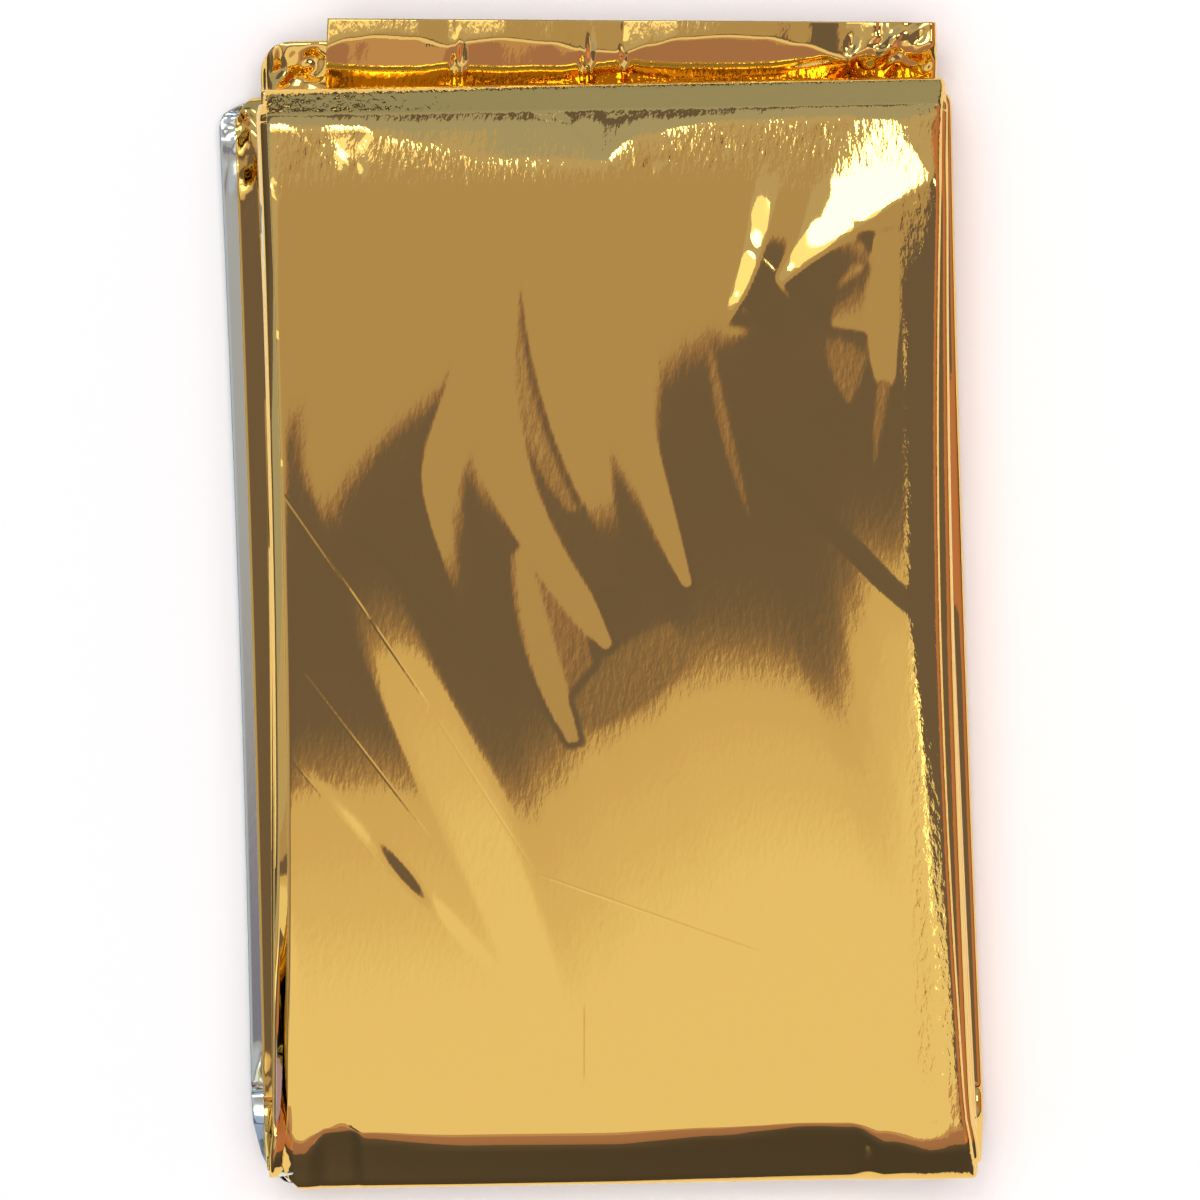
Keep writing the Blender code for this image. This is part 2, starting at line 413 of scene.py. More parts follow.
# Across these folds the level middle ends on a wavy line, at its upper and at its lower edge
Edge = namedtuple("Edge", "x y")
UPPER_EDGE = table(Edge,
    (-60, 24), (-36, 24), (-34.5, 21), (-33.3, 17), (-31.8, 12.8), (-30.5, 13.3), (-28, 16.5), (-26, 19.2),
    (-24.6, 22), (-21.6, 24.8), (-20, 28), (-19.5, 4.5), (-18.6, 5), (-16.4, 11), (-14.4, 17.5),
    (-12.8, 14), (-11, 12), (-2.4, 10), (-0.5, 10.5), (0.7, 11), (2, 17), (3.6, 13), (5, 8), (6.4, 8),
    (7.2, 17), (8.2, 23), (9.6, 27.5), (13, 29.8), (17, 31.8), (22, 32.2), (26, 31.5), (60, 31.5),
)
LOWER_EDGE = table(Edge,
    (-60, -21), (-37, -21), (-33.4, -22), (-32.4, -9), (-31, -5), (-28, -4), (-26, -5), (-25, -9),
    (-24.4, -18), (-23.2, -25), (-21, -25.5), (-17, -22.5), (-8.6, -17), (-2.8, -14.5), (3.3, -11),
    (8.5, -10), (13.4, -10.5), (17, -12), (18.2, -15), (20.3, -16), (22, -13), (25, -5), (29, 1), (33, 0),
    (37, -6), (60, -8),
)
# Streaks that the folds make in the reflection: both ends, bow to the right of the way, half width at the
# start, in the middle and at the end, and the angle that is reflected there
Streak = namedtuple("Streak", "x y end_x end_y bow start middle end angle")
STREAKS = table(Streak,
    # brown fields round the bright streaks and above the gold at the right
    (-8, 6, -2.5, -14, 0.3, 2.5, 4, 3, 0.95),
    (-3, -14, 9.5, -5, 0, 2, 3.6, 2.6, -1.85),
    # bright ones through the middle, with a fainter branch, and a light one beside them
    (-12.3, 17, 1, -6, 0.2, 1.8, 2.3, 0.7, 2.2),
    (-9, 6, -3.2, -17, 0.8, 0.5, 1.5, 0.9, 1.9),
    (2.8, 29, 10.3, 1, 0.6, 0.5, 1.5, 0.5, 3),
    # the thin flame, dark, with a browner middle
    (-8.3, 38.2, 1.2, 1, 3.3, 0.1, 1.9, 2.2, 0.3),
    (-8.7, 34, -2.8, 10, 2.2, 0.1, 1.2, 0.7, 0.95),
    # a lighter streak and a patch in the dark at the right
    (13.3, 28.5, 17.8, 8, 0.4, 0.4, 0.9, 0.3, 0.95),
    (29.8, 31.5, 29.4, 21.5, 0.4, 2.4, 2.3, 0.2, 1),
    (30.8, 38, 29.6, 30.5, 0.2, 0.8, 2.2, 2.3, 3.3),
    (34.4, 42, 33.6, 24, 0.4, 1.4, 1.9, 0.9, 4.6),
    (33.6, 25, 32, 13, 0.2, 0.9, 0.8, 0.2, 1.1),
    # glints below the dark wedge at the top
    (-28.6, 56, -28.8, 50, 0.2, 0.3, 0.7, 0.2, 18),
    (-26, 54.5, -26.6, 49.5, 0.2, 0.3, 0.6, 0.2, 18),
    (2.4, 56.5, 2, 50.5, 0.2, 0.9, 1.2, 0.5, 14),
    (-2, 56.5, -2.4, 52.5, 0.2, 0.7, 0.8, 0.3, 14),
)
STREAK_RIM = 0.8  # how far the edge of a streak is spread

# The line above which the face rolls off to the fold at the top
ROLL_LINE = table(Edge,
    (-40, 58.5), (-30, 55.8), (-20, 53), (-10, 50.8), (0, 50.5), (6, 53.5), (15, 55.5), (28, 56.5),
    (41, 58),
)
ROLL_SLOPE, ROLL_ROUNDING = 0.20, 0.3
# and the line beyond which it slopes down to the right, with X and Y changed round
SHOULDER_LINE = table(Edge,
    (-69, 39.5), (-50, 38.2), (-25, 37.2), (0, 36.2), (35, 36.2), (44, 39.5), (61, 40),
)
SHOULDER_SLOPE, SHOULDER_ROUNDING = 0.14, 0.1
# The relief dies away in the last bit before the face's two sides: its middle, half width and power
FACE_MIDDLE, FACE_HALF, FACE_POWER = 1.8, 40.5, 100

# Creases: ridges that run out at a tip. Tip, end, bow, steepness of the narrower flank, reach of the left
# and of the right flank at the end, width at the tip as a share of that, half width of the rounded crest,
# and the shares of the way in which the ridge rises and dies away.
Crease = namedtuple("Crease", "x y end_x end_y bow steep left right tip crest rise fall")
CREASES = table(Crease,
    # the two bright triangles at the upper right, and the fold along which they end
    (21.4, 35.8, 44, 50.4, -0.5, 0.11, 12.2, 61, 0.03, 0.3, 0.022, 0.2),
    (15.2, 31, 21.8, 50.5, 1.2, 0.13, 2.6, 16, 0.3, 0.2, 0.2, 0.5),
    (14, 29.5, 37, 43.5, 2.5, 0.007, 5, 5, 0.6, 0.3, 0.15, 0.2),
)

# Facets: places where the face is tilted. Centre, turn of the long axis in degrees, reach along and across
# it, and the slopes to the right and to the top at the centre.
Facet = namedtuple("Facet", "x y turn along across slope_x slope_y")
FACETS = table(Facet, (-23.4, -31.6, -48, 7, 0.6, 0.032, -0.032))

# Zones of fine crinkles: centre, half sizes, number of crinkles, their greatest steepness, and their width
Zone = namedtuple("Zone", "x y half_x half_y count steep width")
CRINKLED = table(Zone,
    (-15, 53, 22, 4, 50, 0.04, 0.5), (18, 53.5, 20, 4, 40, 0.04, 0.5), (33, 48, 6, 8, 16, 0.04, 0.5),
)
SEED = 11
CRINKLE_LENGTHS, CRINKLE_WIDTHS = (0.6, 2.4), (0.9, 1.5)  # in millimetres, and as shares of the zone's width
CRINKLE_REACH = 6  # distance beyond which a crinkle isn't felt
HEIGHT_OF_STEEP = 1.17  # height, in widths, of a ridge exp(-s^2) whose flank has a slope of 1


def facets(x, y, rows):
    """Sum of the tilted places: (slope . d) exp(-(a/along)^2 - (c/across)^2), with a and c along and across
    the axis."""
    height = np.zeros_like(x)
    for row in rows:
        turn = math.radians(row.turn)
        from_x, from_y = x - row.x, y - row.y
        along = (from_x * math.cos(turn) + from_y * math.sin(turn)) / row.along
        across = (from_y * math.cos(turn) - from_x * math.sin(turn)) / row.across
        height = height + (row.slope_x * from_x + row.slope_y * from_y) * np.exp(-(along**2) - across**2)
    return height


def crinkles(x, y, zones):
    """Short straight ridges and troughs strewn over the zones: h exp(-(a/length)^2 - (c/width)^2), with a
    and c along and across each, worked out near it only."""
    random = np.random.default_rng(SEED)
    height = np.zeros_like(x)
    for zone in zones:
        for _ in range(zone.count):
            centre_x = zone.x + zone.half_x * random.uniform(-1, 1)
            centre_y = zone.y + zone.half_y * random.uniform(-1, 1)
            turn = random.uniform(0, np.pi)
            length = random.uniform(*CRINKLE_LENGTHS)
            steep = zone.steep * random.uniform(-1, 1)
            width = zone.width * random.uniform(*CRINKLE_WIDTHS)
            near = (np.abs(x - centre_x) < CRINKLE_REACH) & (np.abs(y - centre_y) < CRINKLE_REACH)
            from_x, from_y = x[near] - centre_x, y[near] - centre_y
            along = (from_x * np.cos(turn) + from_y * np.sin(turn)) / length
            across = (from_y * np.cos(turn) - from_x * np.sin(turn)) / width
            height[near] += steep * width * HEIGHT_OF_STEEP * np.exp(-(along**2) - across**2)
    return height


def between_rows(rows, field, x):
    """A table's places and values, and for each x the row before it and the share of the way to the next."""
    places = np.array([row.x for row in rows], float)
    values = np.array([getattr(row, field) for row in rows], float)
    x = np.clip(x, places[0], places[-1])
    row = np.clip(np.searchsorted(places, x) - 1, 0, len(places) - 2)
    return places, values, row, (x - places[row]) / (places[row + 1] - places[row])


def along_table(rows, field, x):
    """Value of a table's field at each x, with smooth steps from row to row."""
    _, values, row, share = between_rows(rows, field, x)
    return values[row] + smooth(share) * (values[row + 1] - values[row])


def along_curve(rows, field, x):
    """Value of a table's field at each x, on a smooth curve through the rows: cubic stretches whose slope
    at a row is the mean of the slopes on both sides."""
    places, values, row, share = between_rows(rows, field, x)
    rates = np.diff(values) / np.diff(places)
    rates = np.concatenate([rates[:1], (rates[1:] + rates[:-1]) / 2, rates[-1:]])
    length = places[row + 1] - places[row]
    start = (1 + 2 * share) * (1 - share) ** 2 * values[row] + share * (1 - share) ** 2 * length * rates[row]
    end = share**2 * (3 - 2 * share) * values[row + 1] - share**2 * (1 - share) * length * rates[row + 1]
    return start + end


def ramp(reach, rounding):
    """The reach above 0, and 0 below, in a rounded bend: (sqrt(reach^2 + rounding) + reach) / 2."""
    return (np.sqrt(reach**2 + rounding) + reach) / 2


def lesser(one, other, rounding):
    """The lesser of two values, in a rounded bend: (a + b - sqrt((a - b)^2 + rounding)) / 2."""
    return (one + other - np.sqrt((one - other) ** 2 + rounding)) / 2


def bowed_way(x, y, row):
    """Share of the way between a row's two ends, distance to the left of it and its length, bowed by a
    parabola: bow 4 s (1 - s)."""
    run_x, run_y = row.end_x - row.x, row.end_y - row.y
    length = math.hypot(run_x, run_y)
    share = ((x - row.x) * run_x + (y - row.y) * run_y) / length**2
    inside = np.clip(share, 0, 1)
    distance = ((y - row.y) * run_x - (x - row.x) * run_y) / length + row.bow * 4 * inside * (1 - inside)
    return share, distance, length


def reflected_angle(y, lower, upper):
    """Angle at which the face reflects at y, in degrees, square to the soft boxes' edges: straight from
    station to station, where the level middle ends at the places lower and upper."""
    bases = {"fixed": 0.0, "lower": lower, "upper": upper}
    angle = STATIONS[0].angle
    for here, there in zip(STATIONS, STATIONS[1:]):
        start, end = bases[here.base] + here.distance, bases[there.base] + there.distance
        angle = angle + (there.angle - here.angle) * np.clip((y - start) / (end - start), 0, 1)
    return angle


def crown(x, y):
    """Crown of a face without folds, whose slope along Y is -angle / (2 cos 45 deg), and the twist, x y / (2
    viewing height), that keeps its reflections level."""
    along = np.linspace(*CROWN_REACH, 2721)
    slope = -np.radians(reflected_angle(along, LEVEL_LOWER, LEVEL_UPPER)) / (2 * math.cos(BOX_TURN))
    height = np.concatenate([[0], np.cumsum((slope[1:] + slope[:-1]) / 2) * (along[1] - along[0])])
    level = np.interp(y, along, height - np.interp(0.0, along, height))
    return CROWN_HEIGHT + level - x * y / (2 * VIEWING_HEIGHT)


def lean(x, y):
    """How far the shallow folds have gone to the right at y: the right part's curve takes over smoothly."""
    share = grown(x, *LEAN_CHANGE)
    return (1 - share) * along_curve(LEANS, "left", y) + share * along_curve(LEANS, "right", y)


def in_streak(x, y, row):
    """1 inside a streak and 0 outside, with a smooth rim; half width is a parabola through 3 values."""
    share, distance, length = bowed_way(x, y, row)
    along = np.clip(share, 0, 1)
    surplus = 2 * row.middle - row.start - row.end
    half = row.start + (row.end - row.start) * along + surplus * 2 * along * (1 - along)
    ends = np.minimum(share, 1 - share) * length
    return smooth((half - np.abs(distance)) / STREAK_RIM + 0.5) * smooth(ends / STREAK_RIM + 0.5)


DIAGONAL_STEP = 0.2
DIAGONALS = (-112.0, 106.0)  # reach of x + y, from diagonal to diagonal
ALONG_DIAGONAL = (-106.0, 114.0)  # reach of x - y, along them
FOLDED_HALF, FOLDED_BOTTOM, FOLDED_TOP = 44, -70, 62  # the part of the plane that the face takes up


def diagonal_folds():
    """Heights of the shallow folds on a grid of diagonals, square to the boxes' edges, because only the
    slope along them moves an edge's reflection: the running sum, from the lower right end of each
    diagonal, of change of angle / (4 cos 45 deg), times the step."""
    diagonal = np.arange(*DIAGONALS, DIAGONAL_STEP)[:, None]
    place = np.arange(*ALONG_DIAGONAL, DIAGONAL_STEP)[None, :]
    x, y = (diagonal + place) / 2, (diagonal - place) / 2
    inside = (np.abs(x) < FOLDED_HALF) & (y > FOLDED_BOTTOM) & (y < FOLDED_TOP)
    across = x - lean(x, y)
    lower, upper = along_table(LOWER_EDGE, "y", across), along_table(UPPER_EDGE, "y", across)
    wanted = reflected_angle(y, lower, upper)
    for row in STREAKS:
        wanted = wanted + in_streak(x, y, row) * (row.angle - wanted)
    change = np.radians(wanted - reflected_angle(y, LEVEL_LOWER, LEVEL_UPPER)) * inside
    steps = change / (4 * math.cos(BOX_TURN)) * DIAGONAL_STEP
    total = np.cumsum(steps, axis=1)
    return total - total[:, -1:]


FOLD_HEIGHTS = diagonal_folds()


def shallow_folds(x, y):
    """The folds' heights at any place, straight between the grid's points both ways."""
    last_row, last_column = np.array(FOLD_HEIGHTS.shape) - 1.001  # just inside the last ones
    row = np.clip((x + y - DIAGONALS[0]) / DIAGONAL_STEP, 0, last_row)
    column = np.clip((x - y - ALONG_DIAGONAL[0]) / DIAGONAL_STEP, 0, last_column)
    low_row, low_column = row.astype(int), column.astype(int)
    up, on = row - low_row, column - low_column

    def on_row(row):
        return FOLD_HEIGHTS[row, low_column] * (1 - on) + FOLD_HEIGHTS[row, low_column + 1] * on

    return on_row(low_row) * (1 - up) + on_row(low_row + 1) * up


FOOT = 0.15  # how much of a flank's reach its rounded foot takes


def creases(x, y):
    """Sum of the ridges. Across them the height falls off straight, from a rounded crest to a rounded foot
    at the flank's reach: k ln(1 + exp((1 - d / reach) / k)), with d the distance from the bowed way."""
    height = np.zeros_like(x)
    for row in CREASES:
        share, distance, _ = bowed_way(x, y, row)
        width = row.tip + (1 - row.tip) * np.clip(share, 0, 1)
        reach = np.where(distance > 0, row.left, row.right) * width
        away = np.sqrt(distance**2 + row.crest**2) - row.crest
        ends = smooth(share / row.rise) * smooth((1 - share) / row.fall)
        top = row.steep * min(row.left, row.right) * width
        height = height + top * FOOT * np.log1p(np.exp((1 - away / reach) / FOOT)) * ends
    return height


def face_relief(x, y):
    """Height of the front face: crown, folds, facets, ridges and crinkles, less the slopes past its lines."""
    face = 1 - np.clip(np.abs((x - FACE_MIDDLE) / FACE_HALF), 0, 1) ** FACE_POWER
    height = (crown(x, y) + shallow_folds(x, y) + facets(x, y, FACETS)) * face
    roll = ROLL_SLOPE * ramp(y - along_table(ROLL_LINE, "y", x), ROLL_ROUNDING)
    shoulder = SHOULDER_SLOPE * ramp(x - along_table(SHOULDER_LINE, "y", y), SHOULDER_ROUNDING)
    return height + creases(x, y) + crinkles(x, y, CRINKLED) - roll - shoulder


# The line along which the front turns down to the fold at the bottom
FOLD_LINE = table(Edge,
    (-40, -64), (-36, -63.5), (-32.6, -61.4), (-30.8, -60.9), (-28.8, -62.2), (-17, -63), (0, -63.1),
    (12, -62.4), (23, -61.8), (28, -61.9), (32, -63.4), (37, -64.4), (41, -64),
)
FOLD_BEND = 0.3  # how far its edge is rounded
FOLD_GROWTH = (LOWEST_MIDDLE, 6)  # start and length, in height, of the raising's growth to its full


def raised_fold(x, y, z):
    """How far the upper side of the bottom fold is raised, so that it turns down at its line only: the
    lesser of its drop at y and its drop at the line."""
    centre_y, _, radius = turn_between(*(panel for panel in PANELS if panel.layer in (1, LAYERS)), True)
    reach, height, _ = fold_profile(400)
    half = len(reach) // 2

    def drop(y):
        """How far the fold's upper half has come down at y."""
        return radius * np.interp((y - centre_y) / -radius - 1, reach[:half], 1 + height[:half])

    here, most = drop(y), drop(along_table(FOLD_LINE, "y", x))
    raised = lesser(here, most, (FOLD_BEND * np.minimum(here, 1)) ** 2)
    return raised * grown(z, *FOLD_GROWTH)


# The upper free end comes up steeply out of the fold above it, to a wavy line, and is nearly level beyond it
FLAP_LINE = table(Edge,
    (-32, 64.8), (-28, 65.9), (-25, 66.2), (-20.4, 65.9), (-16.3, 64.8), (-14.6, 65.3), (-10.5, 65.6),
    (-4.6, 65), (-0.5, 64), (4.1, 63.7), (7.1, 64.5), (10.6, 65.2), (15.9, 65.4), (20.6, 65.1),
    (24.7, 64.2), (29.9, 62.6), (33, 63.6), (41, 64),
)
FLAP_RISE, FLAP_REACH = 2.1, 5.3  # its rise where the line lies this far beyond the fold
FLAP_RISE_POWER = 0.75  # power of the line's distance by which its slope goes down
FLAP_FALL, FLAP_ROUNDING = 0.035, 0.02
# Its upright creases, and the crumpled corners of both free ends
FLAP_CREASES = table(Facet,
    (-15.4, 65.6, 90, 2.4, 0.24, 0.22, -0.05), (-15, 62.8, 90, 1.6, 0.3, 0.15, -0.5),
    (-15.9, 62.4, 90, 1.2, 0.25, 0.15, -0.5), (0.1, 62.6, 90, 1.8, 0.22, 0.12, -0.45),
    (-0.9, 62, 90, 1.2, 0.2, 0.12, -0.45), (4.1, 65.2, 90, 2.2, 0.22, 0.2, -0.05),
    (4, 62.4, 90, 1.2, 0.35, 0.15, -0.5), (30.6, 63.2, 80, 1.4, 0.45, 0.15, -0.45),
    (26, 62, 10, 2.2, 0.3, 0.05, -0.45),
)
FLAP_CRUMPLED = table(Zone, (36.4, 64.2, 3.2, 3, 22, 0.5, 0.55))
LOWER_END_RISE = 1.7
LOWER_END_FACETS = table(Facet,
    (-32.6, 63.5, 20, 0.9, 0.6, -0.2, -0.35), (-35.6, 62.4, 60, 1.2, 0.5, -0.35, -0.1),
)
LOWER_END_CRUMPLED = table(Zone, (-34.3, 62.6, 3, 2.2, 18, 0.3, 0.6))
# Its rim: place of the left edge, distance in which the fall dies away, its drop, and the most of it
RIM_LEFT, RIM_WIDTH, RIM_DROP, RIM_MOST = -38.2, 0.5, 0.7, 1.5
FREE_ENDS_PART = 5.15  # height between the two free ends


def flap_relief(x, y):
    """Height of the upper free end above its layer: straight up to its line, and a little down beyond."""
    beyond = y - FRONT_TOP
    line = along_table(FLAP_LINE, "y", x) - FRONT_TOP
    slope = FLAP_RISE / FLAP_REACH * (FLAP_REACH / line) ** FLAP_RISE_POWER
    up = lesser(beyond, line, FLAP_ROUNDING)
    height = slope * up - FLAP_FALL * (beyond - up)
    return height + facets(x, y, FLAP_CREASES) + crinkles(x, y, FLAP_CRUMPLED)


def lower_end_relief(x, y):
    """Height of the lower free end: it rises as the square of its reach, and its rim falls off as
    exp(-distance / width) from its left and its upper edge."""
    reach = (y - FRONT_TOP) / (LOWER_FREE_END.place - FRONT_TOP)
    rim = np.exp((RIM_LEFT - x) / RIM_WIDTH) + np.exp((y - LOWER_FREE_END.place) / RIM_WIDTH)
    height = LOWER_END_RISE * reach**2 + facets(x, y, LOWER_END_FACETS) + crinkles(x, y, LOWER_END_CRUMPLED)
    return height - RIM_DROP * np.minimum(rim, RIM_MOST)


# The lowest layers stand out at the left: how far in and how high that part reaches, its crumples and
# creases, and the second layer's slope up to the left, its change with Y, and its growth with the height
SIDE_RIGHT, SIDE_TOP = -37.5, 3.6
SIDE_CRUMPLED = table(Zone, (-43, 53.5, 1.6, 4.5, 34, 0.4, 0.45), (-41.8, -60, 1.2, 6, 26, 0.36, 0.45))
SIDE_CREASES = table(Facet,
    (-39.9, 56, -61, 3, 0.35, 0.16, -0.22), (-39, 55.4, -61, 3.4, 0.3, 0.16, -0.22),
)
SIDE_CREASES_FROM = 1.0  # height from which on they are felt
TILT, TILT_CHANGE, TILT_GROWTH = 0.026, 0.000625, (1.5, 0.8)


def side_relief(x, y, z):
    """Height of the lowest layers' left part: crumples, creases, and a slope that grows straight with Y."""
    tilt = -(x - SIDE_RIGHT) * (TILT + TILT_CHANGE * y) * grown(z, *TILT_GROWTH)
    creased = facets(x, y, SIDE_CREASES) * (z > SIDE_CREASES_FROM)
    return np.abs(crinkles(x, y, SIDE_CRUMPLED)) + creased + tilt


RAISED_FROM = -50  # place on Y below which the bottom fold is raised
RELIEF_END = 56.5  # place on Y beyond which the face's relief goes on level, round the fold at the top
FREE_ENDS_FADE = (54, 5)  # start on Y and length of its dying away on the free ends
FREE_END_TOP = 6.9  # height below which the free ends lie
LOWER_END_GROWTH = (FRONT_TOP, 0.5)  # start and length of the growth of the lower free end's own relief
# How the films under the outer one keep away from it: share of the bottom fold's raising; depth in the
# free ends and under the face, with its growth with height and down from the top; half width and power of
# both; and depth in the fold at the top, with its growth with Y
UNDER_RAISED, UNDER_FREE_END = 0.6, 0.35
UNDER_FACE, UNDER_FACE_GROWTH, UNDER_FACE_END = 0.5, (7, 4), (-59.5, 2)
UNDER_HALF, UNDER_POWER, UNDER_TOP_FOLD, UNDER_TOP_GROWTH = 39.5, 10, 0.25, (57, 2)


def warped(x, y, z, under=False):
    """Moves points of the folded film on to the packet's uneven form; the relief dies away downwards."""
    moved = z.copy()
    low = y < RAISED_FROM
    moved[low] += raised_fold(x[low], y[low], z[low]) * (UNDER_RAISED if under else 1.0)
    share = np.clip((moved - LOWEST_MIDDLE) / (HIGHEST_MIDDLE + OUTER_FILM - LOWEST_MIDDLE), 0, 1)
    share = share * (1 - grown(y, *FREE_ENDS_FADE) * (z < FREE_END_TOP))
    high = share > 0
    moved[high] += share[high] * face_relief(x[high], np.minimum(y[high], RELIEF_END))
    if under:
        inside = 1 - np.clip(np.abs((x - FACE_MIDDLE) / UNDER_HALF), 0, 1) ** UNDER_POWER
        under_face = UNDER_FACE * grown(z, *UNDER_FACE_GROWTH) * grown(-y, *UNDER_FACE_END)
        moved -= np.where(y > FRONT_TOP, UNDER_FREE_END, under_face) * inside
        y = y - UNDER_TOP_FOLD * grown(y, *UNDER_TOP_GROWTH) * (z > FREE_END_TOP)
    upper_end = (y > FRONT_TOP) & (z > FREE_ENDS_PART)
    moved[upper_end] += flap_relief(x[upper_end], y[upper_end])
    lower_end = (y > FRONT_TOP) & (z <= FREE_ENDS_PART)
    moved[lower_end] += (grown(y, *LOWER_END_GROWTH) * lower_end_relief(x, y))[lower_end]
    side = (x < SIDE_RIGHT) & (z < SIDE_TOP)
    moved[side] += side_relief(x[side], y[side], z[side])
    return x, y, moved


def film_points(way, columns, under=False):
    """Points of the film: each station's two edges give X, and the bundle height goes along its normal."""
    share, offset, height, silver = columns[:, None, :]
    left, right = way.left[:, None], way.right[:, None]
    x = left + share * (right - left) + offset + silver * way.silver[:, None]
    height = height * way.press[:, None]
    y = way.y[:, None] + height * way.normal_y[:, None] + way.slope[:, None] * x
    z = way.z[:, None] + height * way.normal_z[:, None]
    x, y, z = warped(x, y, z, under)
    return np.stack([x, y, z], axis=-1)


def to_frame(points):
    """Millimetres of the packet to metres of the frame, so that it lies in its solid's box."""
    lowest_left = min(min(panel.top_left, panel.bottom_left) for panel in PANELS)
    corner = np.array(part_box(NODE)[0]) / MM - np.array([lowest_left, BOTTOM_END, 0.0])
    return (points + corner) * MM


# ---- meshes

def grid_faces(rows, columns, first):
    """Quads of a grid of points, wound so that they face the gold side."""
    corner = first + np.arange(rows * columns).reshape(rows, columns)
    quads = np.stack([corner[:-1, :-1], corner[1:, :-1], corner[1:, 1:], corner[:-1, 1:]], axis=-1)
    return quads.reshape(-1, 4)


def film_object(name, grids, materials):
    """One mesh object from several grids of points, in metres."""
    points, faces, first = [], [], 0
    for grid in grids:
        rows, columns = grid.shape[:2]
        points.append(grid.reshape(-1, 3))
        faces.append(grid_faces(rows, columns, first))
        first += rows * columns
    points, faces = np.concatenate(points), np.concatenate(faces)
    mesh = bpy.data.meshes.new(name)
    mesh.vertices.add(len(points))
    mesh.vertices.foreach_set("co", to_frame(points).astype(np.float32).ravel())
    mesh.loops.add(faces.size)
    mesh.loops.foreach_set("vertex_index", faces.astype(np.int32).ravel())
    mesh.polygons.add(len(faces))
    mesh.polygons.foreach_set("loop_start", np.arange(0, faces.size, 4, dtype=np.int32))
    mesh.update(calc_edges=True)
    mesh.validate()
    mesh.shade_smooth()
    for material in materials:
        mesh.materials.append(material)
    return placed(name, mesh)


# ---- materials

def colour(hex_code):
    """sRGB hex to the linear colour that shaders take."""
    values = [int(hex_code[i : i + 2], 16) / 255 for i in (1, 3, 5)]
    linear = [v / 12.92 if v <= 0.04045 else ((v + 0.055) / 1.055) ** 2.4 for v in values]
    return (*linear, 1.0)


def add_node(tree, kind, settings=None, inputs=None, links=None):
    """Adds a node with its settings, its input values and the sockets that feed it."""
    node = tree.nodes.new("ShaderNode" + kind)
    for key, value in (settings or {}).items():
        setattr(node, key, value)
    for key, value in (inputs or {}).items():
        node.inputs[key].default_value = value
    for key, socket in (links or {}).items():
        tree.links.new(socket, node.inputs[key])
    return node


# Sharp crease lines pressed into the face: both ends, and their share of the depth
Line = namedtuple("Line", "x y end_x end_y depth")
LINES = table(Line,
    (-38.5, 16, -26.7, -1.7, 1), (-26.7, -1.7, -20, -12, 0.9), (-20, -12, -8.1, -31.6, 0.3),
    (-8.1, -31.6, 18.6, -41.5, 0.3), (18.6, -41.5, 40, -52.3, 0.2), (-35.5, -6.5, -20.3, -27.1, 0.8),
    (-36, -18.1, -25.6, -30.7, 0.5), (0, -46.5, 7.6, -56.3, 0.35), (-2.6, -46.6, -2.9, -60.5, 0.35),
)
LINE_REACH, LINE_FADE = 0.22, 2.0  # half width of a line, and length of its faded ends
LINE_DEPTH, CRINKLE_DEPTH = 0.012, 0.08  # in millimetres, as bump
# Two sets of crinkles: turn in degrees, and crinkles to the millimetre along each axis, coarser than the
# real ones, which are too fine to show
CRINKLES = ((40, (1.7, 0.7, 1.1)), (-50, (1.9, 0.8, 1.1)))
# Where on X and on Y they grow from their least to their full strength, the share of it at the right side,
# and the strengths: least, full, and full on the creased film
ROUGH_SIDE, ROUGH_END, SIDE_SHARE = (35.0, 36.5), (46.0, 54.0), 0.6
SMOOTH_STRENGTH, ROUGH_STRENGTH, CREASED_STRENGTH = 0.018, 0.08, 0.42


def pressed_line(tree, place, row):
    """The line's depth on it and 0 beyond its reach, with both ends faded."""
    length = math.hypot(row.end_x - row.x, row.end_y - row.y)
    along = ((row.end_x - row.x) / length, (row.end_y - row.y) / length, 0.0)
    across = (-along[1], along[0], 0.0)

    def faded(direction, start, end, absolute=False):
        """0 at the start and 1 at the end, in millimetres along a direction from the line's first end."""
        origin = (row.x * direction[0] + row.y * direction[1]) * MM
        way = add_node(tree, "VectorMath", {"operation": "DOT_PRODUCT"}, {1: direction}, {0: place})
        way = add_node(tree, "Math", {"operation": "SUBTRACT"}, {1: origin}, {0: way.outputs["Value"]})
        if absolute:
            way = add_node(tree, "Math", {"operation": "ABSOLUTE"}, links={0: way.outputs["Value"]})
        ends = {"From Min": start * MM, "From Max": end * MM}
        return add_node(tree, "MapRange", inputs=ends, links={"Value": way.outputs["Value"]})

    product = faded(across, LINE_REACH, 0.0, True).outputs["Result"]
    for end in (faded(along, 0.0, LINE_FADE), faded(along, length, length - LINE_FADE)):
        links = {0: product, 1: end.outputs["Result"]}
        product = add_node(tree, "Math", {"operation": "MULTIPLY"}, links=links).outputs["Value"]
    deep = add_node(tree, "Math", {"operation": "MULTIPLY"}, {1: row.depth}, {0: product})
    return deep.outputs["Value"]


